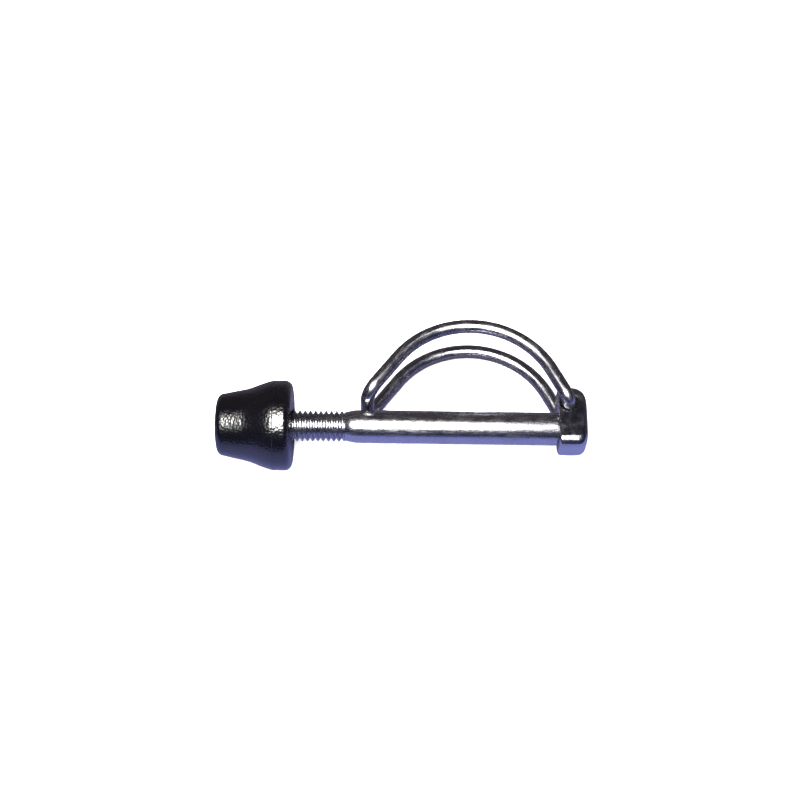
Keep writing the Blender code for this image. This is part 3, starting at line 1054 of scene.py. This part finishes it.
@dataclass
class Knob:
    """The moulded knob and the turned bush that it is moulded round."""

    low: Vector = field(default_factory=lambda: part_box("knob_body")[0])
    high: Vector = field(default_factory=lambda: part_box("knob_body")[1])
    bush_low: Vector = field(default_factory=lambda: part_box("knob_insert")[0])
    bush_high: Vector = field(default_factory=lambda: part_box("knob_insert")[1])
    tip_radius: float = 9.5 * MM
    tip_corner: float = 2.2 * MM
    rim_land: float = 3.3 * MM
    waist_radius: float = 10.65 * MM
    flare_length: float = 9.4 * MM
    rim_corner: float = 2.2 * MM
    face_crown: float = 0.3 * MM
    bore_radius: float = 5.0 * MM
    end_wall: float = 3.4 * MM
    mould_line: float = 0.07 * MM
    mould_line_width: float = 0.16 * MM
    mould_line_from_face: float = 5.5 * MM
    lip_gap: float = 0.3 * MM
    sink: float = 0.04 * MM
    tip_dish: float = 0.12 * MM
    tip_bowl: float = 0.1 * MM
    tip_bowl_share: float = 0.45
    mouth_round: float = 0.4 * MM
    drill_point: float = 0.8 * MM
    bush_lead: float = 0.4 * MM
    bush_edge: float = 0.2 * MM
    groove_depth: float = 0.7 * MM
    groove_width: float = 2.2 * MM
    groove_count: int = 2
    sharp_degrees: float = 35.0
    tip_steps: int = 12
    flare_steps: int = 40
    rim_steps: int = 16
    segments: int = 192
    bush_segments: int = 96

    def outside(self) -> Outline:
        """Draw the knob's outside.

        Returns:
            The outline from the tip's pole over the cone, flare and rim to the socket's mouth.
        """
        tip_x, face_x, rim = self.low.x, self.high.x, self.high.y
        tip_centre = (tip_x + self.tip_corner, self.tip_radius - self.tip_corner)
        outline = [(tip_x + self.tip_dish, 0.0)]
        outline += [(tip_x + self.tip_bowl, self.tip_bowl_share * self.tip_radius)]
        outline += arc(tip_centre, self.tip_corner, 180, 90, self.tip_steps)
        edge = face_x - self.face_crown
        flare_end = edge - self.rim_corner - self.rim_land
        for k in range(self.flare_steps + 1):
            t = k / self.flare_steps
            ease = (t + t * t * (3 - 2 * t)) / 2
            x = flare_end - self.flare_length * (1 - t)
            outline.append((x, self.waist_radius + (rim - self.waist_radius) * ease))
        outline += self.parting()
        rim_centre = (edge - self.rim_corner, rim - self.rim_corner)
        outline += arc(rim_centre, self.rim_corner, 90, 0, self.rim_steps)
        mouth = self.bore_radius + self.lip_gap
        lead = self.mouth_round
        outline.append((face_x, mouth + lead))
        return outline + [(face_x - 0.3 * lead, mouth + 0.25 * lead), (face_x - lead, mouth)]

    def parting(self) -> Outline:
        """Draw the fine raised line that the tool's parting leaves round the rim.

        Returns:
            The line's three outline points.
        """
        x = self.high.x - self.mould_line_from_face
        rim = self.high.y - self.mould_line
        width = self.mould_line_width
        return [(x, rim), (x + width / 2, self.high.y), (x + width, rim)]

    def socket(self) -> Outline:
        """Draw the socket that holds the bush, and the blind bore behind it.

        Returns:
            The outline from the socket's mouth to the bore's pole.
        """
        wall = self.bush_high.y + self.sink
        step_x = self.bush_low.x - self.sink
        lip_x = self.bush_high.x + self.sink
        bottom = self.low.x + self.end_wall
        outline = [(lip_x, self.bore_radius + self.lip_gap), (lip_x, wall)]
        outline += [(step_x, wall), (step_x, self.bore_radius)]
        return outline + [(bottom, self.bore_radius), (bottom - self.drill_point, 0.0)]

    def bush_outline(self) -> Outline:
        """Draw the bush, with chamfered mouths and grooves that grip the plastic.

        Returns:
            The closed outline.
        """
        wall, x_in, x_out = self.bush_high.y, self.bush_low.x, self.bush_high.x
        lead, edge = self.bush_lead, self.bush_edge
        outline = [(x_out - lead, self.bore_radius), (x_out, self.bore_radius + lead)]
        outline += [(x_out, wall - edge), (x_out - edge, wall)]
        depth, half = self.groove_depth, self.groove_width / 2
        for groove in range(1, self.groove_count + 1):
            middle = x_out + (x_in - x_out) * groove / (self.groove_count + 1)
            outline += [(middle + half, wall), (middle + half, wall - depth)]
            outline += [(middle - half, wall - depth), (middle - half, wall)]
        outline += [(x_in + edge, wall), (x_in, wall - edge)]
        return outline + [(x_in, self.bore_radius + lead), (x_in + lead, self.bore_radius)]

    def build(self, plastic: GrainedPlastic, brass: TurnedBrass) -> None:
        """Turn the knob and its bush and hand both over.

        Args:
            plastic: The knob's plastic.
            brass: The bush's brass.
        """
        bm = bmesh.new()
        turn(bm, self.outside() + self.socket(), self.segments)
        knob = place(settle(bm, "knob", self.sharp_degrees), "knob", plastic.build())
        hand_over(knob, "knob", "knob_body")
        bm = bmesh.new()
        turn(bm, self.bush_outline(), self.bush_segments, closed=True)
        bush = place(settle(bm, "knob_bush", self.sharp_degrees), "knob_bush", brass.build())
        hand_over(bush, "insert", "knob_insert")


# --- Studio ---


@dataclass(frozen=True)
class Card:
    """A soft light: where it stands, how large it is and what it gives."""

    name: str
    elevation: float
    distance: float
    width: float
    depth: float
    watts: float
    colour: str
    mirrored: bool
    shift: float = 0.0


@dataclass
class Studio:
    """A pale table, soft lights over it and the camera."""

    pivot: Vector
    target: Vector = field(default_factory=lambda: Vector((-56.4 * MM, 9.2 * MM, 0.0)))
    elevation: float = 62.3
    distance: float = 446 * MM
    roll: float = 0.77
    sensor: float = 36.0
    frame_width: float = 244.2 * MM
    clip_start: float = 10 * MM
    table_size: float = 3.0
    table_gap: float = 0.4 * MM
    table_mottle: float = 30.0
    table_roughness: float = 0.7
    table_gloss: float = 0.2
    rim_rest: float = 4 * MM
    wire_rest: float = 2 * MM
    white: tuple[str, str] = ("#FBFBFC", "#F6F6F9")
    # Painted reflection: glossy rays see these colours on the table instead of its white, navy in front and
    # painted shade behind
    painted_reflection_front: str = "#515583"
    painted_reflection_behind: str = "#38333D"
    painted_reflection_from: float = -10 * MM
    painted_reflection_to: float = 25 * MM
    front_to_behind: tuple[float, float] = (-0.8, 0.8)
    wall_to_ceiling: tuple[float, float] = (0.55, 0.9)
    wall_front: str = "#2C3258"
    wall_behind: str = "#544B4D"
    ceiling_behind: str = "#1E1A1C"
    seen_past: str = "#F2F3F7"
    fill_strength: float = 1.5
    cards: tuple[Card, ...] = (
        Card("softbox", 75.0, 0.5, 0.46, 0.48, 2.4, "#FFFDF8", True, -0.09),
        Card("core", 73.0, 0.49, 0.26, 0.24, 7.0, "#FFFDF8", True, -0.07),
        Card("ceiling", 84.0, 1.3, 1.6, 1.6, 9.0, "#C9D6FF", False),
    )

    def back(self, elevation: float) -> Vector:
        """Work out a direction in the plane that the camera looks along.

        Args:
            elevation: Degrees above the horizon, in front of the object.

        Returns:
            The unit vector from the object.
        """
        angle = math.radians(elevation)
        return Vector((0.0, -math.cos(angle), math.sin(angle)))

    def stand(self, item: bpy.types.Object, elevation: float, distance: float, shift: float) -> None:
        """Stand a light or the camera in front of the object, facing it.

        Args:
            item: The light or camera.
            elevation: Degrees above the horizon.
            distance: Distance from the target.
            shift: How far it moves along the pin.
        """
        towards = self.back(elevation)
        aim = (-towards).to_track_quat("-Z", "Y").to_matrix().to_4x4()
        spot = self.target + towards * distance + Vector((shift, 0.0, 0.0))
        item.matrix_world = Matrix.Translation(spot) @ aim
        bpy.context.scene.collection.objects.link(item)

    def add_camera(self) -> None:
        """Stand the camera over the pin's low side, looking down at it."""
        data = bpy.data.cameras.new("camera")
        data.sensor_width = self.sensor
        data.lens = self.sensor * self.distance / self.frame_width
        data.clip_start = self.clip_start
        camera = bpy.data.objects.new("camera", data)
        self.stand(camera, self.elevation, self.distance, 0.0)
        camera.matrix_world = camera.matrix_world @ Matrix.Rotation(math.radians(self.roll), 4, "Z")
        bpy.context.scene.camera = camera

    def add_card(self, card: Card) -> None:
        """Hang one soft light, facing the object.

        Args:
            card: The light's place, size and strength.
        """
        data = bpy.data.lights.new(card.name, "AREA")
        data.shape = "RECTANGLE"
        data.size, data.size_y = card.width, card.depth
        data.energy = card.watts
        data.color = linear(card.colour)[:3]
        light = bpy.data.objects.new(card.name, data)
        light.visible_glossy = card.mirrored
        self.stand(light, card.elevation, card.distance, card.shift)

    def add_floor(self) -> None:
        """Lay the table just under the knob's rim and the bail, which the object lies on."""
        knob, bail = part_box("knob_body"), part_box("wire_bail")
        rim = Vector((knob[1].x - self.rim_rest, 0.0, knob[0].z))
        near = Vector((bail[1].x - self.wire_rest, self.pivot.y, bail[0].z))
        far = Vector(((bail[0].x + bail[1].x) / 2, bail[1].y - self.wire_rest, bail[0].z))
        up = (near - rim).cross(far - rim).normalized()
        up = up if up.z > 0 else -up
        tilt = Vector((0, 0, 1)).rotation_difference(up).to_matrix().to_4x4()
        bm = bmesh.new()
        bmesh.ops.create_grid(bm, x_segments=8, y_segments=8, size=self.table_size)
        drop = Matrix.Translation(rim - up * self.table_gap)
        bmesh.ops.transform(bm, matrix=drop @ tilt, verts=bm.verts)
        mesh = bpy.data.meshes.new("table")
        bm.to_mesh(mesh)
        bm.free()
        place(mesh, "table", self.table_finish())

    def table_finish(self) -> bpy.types.Material:
        """Make the table's white laminate: matt, even and faintly mottled.

        Bright metal mirrors a painted reflection instead of the white: navy in front of the pin and darker
        behind it, painted shade that stands for a dim room around it.

        Returns:
            The finished material.
        """
        material, tree, shader = start_material("white_laminate_painted_reflection")
        place_on = add_node(tree, "ShaderNodeTexCoord").outputs["Object"]
        tint = blend(tree, noise(tree, place_on, self.table_mottle), *self.white)
        apart = add_node(tree, "ShaderNodeSeparateXYZ", {0: place_on})
        # Painted reflection and painted shade: glossy rays see the table navy in front of the pin,
        # darkening behind it
        low, high = (self.painted_reflection_from, 0.0), (self.painted_reflection_to, 1.0)
        behind = spread(tree, apart.outputs["Y"], low, high)
        mirror = blend(tree, behind, self.painted_reflection_front, self.painted_reflection_behind)
        path = add_node(tree, "ShaderNodeLightPath")
        white_or_painted_reflection = blend(tree, path.outputs["Is Glossy Ray"], tint, mirror)
        tree.links.new(white_or_painted_reflection, shader.inputs["Base Color"])
        shader.inputs["Roughness"].default_value = self.table_roughness
        shader.inputs["Specular IOR Level"].default_value = self.table_gloss
        return material

    def add_room(self) -> None:
        """Put up a dim room: warm grey behind, navy in front, pale where the camera looks past.

        The table and other matt things are lit as if the room were white.
        """
        world = bpy.data.worlds.new("room")
        bpy.context.scene.world = world
        world.use_nodes = True
        tree = world.node_tree
        ground = tree.nodes["Background"]
        generated = add_node(tree, "ShaderNodeTexCoord").outputs["Generated"]
        way = add_node(tree, "ShaderNodeSeparateXYZ", {0: generated})
        front, back = self.front_to_behind
        behind = spread(tree, way.outputs["Y"], (front, 0.0), (back, 1.0))
        wall, ceiling = self.wall_to_ceiling
        high = spread(tree, way.outputs["Z"], (wall, 0.0), (ceiling, 1.0))
        rear = blend(tree, high, self.wall_behind, self.ceiling_behind)
        walls = blend(tree, behind, self.wall_front, rear)
        path = add_node(tree, "ShaderNodeLightPath")
        seen = blend(tree, path.outputs["Is Camera Ray"], walls, self.seen_past)
        matt = path.outputs["Is Diffuse Ray"]
        tree.links.new(blend(tree, matt, seen, "#FFFFFF"), ground.inputs["Color"])
        fill = spread(tree, matt, (0.0, 1.0), (1.0, self.fill_strength))
        tree.links.new(fill, ground.inputs["Strength"])

    def build(self) -> None:
        """Set the table, the room, the lights and the camera."""
        self.add_camera()
        self.add_floor()
        self.add_room()
        for card in self.cards:
            self.add_card(card)
        bpy.context.scene.view_settings.view_transform = "Standard"


def corners(box: Iterable[Vector]) -> list[list[float]]:
    """A box's two corners as plain lists."""
    return [list(corner) for corner in box]


def main() -> None:
    """Build the studio and each sub-assembly in order."""
    logging.basicConfig(level=logging.INFO, format="%(name)s: %(message)s")
    swings = (joint for joint in frame["joints"] if joint["name"] == "bail_swing")
    pivot = Vector(next(swings)["pos_m"])
    Studio(pivot).build()
    Pin().build(BrightPlate("plated_bar_steel", Worked.BAR))
    Head().build(
        BrightPlate(
            "plated_forged_steel",
            Worked.FORGED,
            wave_height_mm=0.11,
            mark_height_mm=0.007,
            grain_height_mm=0.022,
            roughness_low=0.12,
            roughness_high=0.24,
        ),
        pivot,
    )
    Bail(pivot).build(BrightPlate("plated_drawn_wire", Worked.WIRE, roughness_low=0.14))
    Knob().build(GrainedPlastic(), TurnedBrass())


if __name__ == "__main__":
    main()
